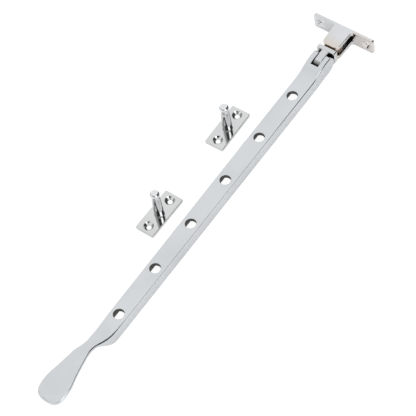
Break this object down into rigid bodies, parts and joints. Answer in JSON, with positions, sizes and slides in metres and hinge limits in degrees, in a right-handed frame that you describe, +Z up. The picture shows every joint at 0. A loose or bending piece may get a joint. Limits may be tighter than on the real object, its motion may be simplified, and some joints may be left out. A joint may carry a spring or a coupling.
{
  "type": "casement window stay",
  "caption": "Spoon-end casement window stay: a forked bar with a row of peg holes on a swivelling backplate, with loose stay pegs on screw plates.",
  "frame": {"origin": "centre of the backplate's back face, where it meets the window frame", "axes": "+X from the backplate along the bar to the spoon, +Y across the bar, +Z up from the surface the set lies on"},
  "size_m": [0.305, 0.0521, 0.0242],
  "materials": {
    "chrome_plate": "polished chrome plate; the metal under it is not seen",
    "bar_chrome": "polished chrome plate with fine hairlines along the bar",
    "pin_chrome": "chrome plated rivet, ground flush",
    "peg_chrome": "bright turned and polished chrome"
  },
  "bodies": {
    "backplate": {"backplate": "chrome_plate", "swivel_pin": "pin_chrome"},
    "link": {"swivel_link": "chrome_plate"},
    "bar": {"stay_bar": "bar_chrome", "lift_pin": "pin_chrome"},
    "peg_1": {"peg_plate_1": "chrome_plate", "peg_1": "peg_chrome"},
    "peg_2": {"peg_plate_2": "chrome_plate", "peg_2": "peg_chrome"}
  },
  "joints": [
    {"name": "swivel", "type": "hinge", "parent": "backplate", "child": "link", "pos_m": [0.012, 0, 0], "axis": [0, 0, 1], "range_deg": [-3, 90]},
    {"name": "lift", "type": "hinge", "parent": "link", "child": "bar", "pos_m": [0.0286, 0, 0], "axis": [0, -1, 0], "range_deg": [-80, 80]},
    {"name": "peg_1_place", "type": "slide", "parent": "backplate", "child": "peg_1", "axis": [0, 0, 1], "range_m": [0, 0.03]},
    {"name": "peg_2_place", "type": "slide", "parent": "backplate", "child": "peg_2", "axis": [0, 0, 1], "range_m": [0, 0.03]}
  ]
}
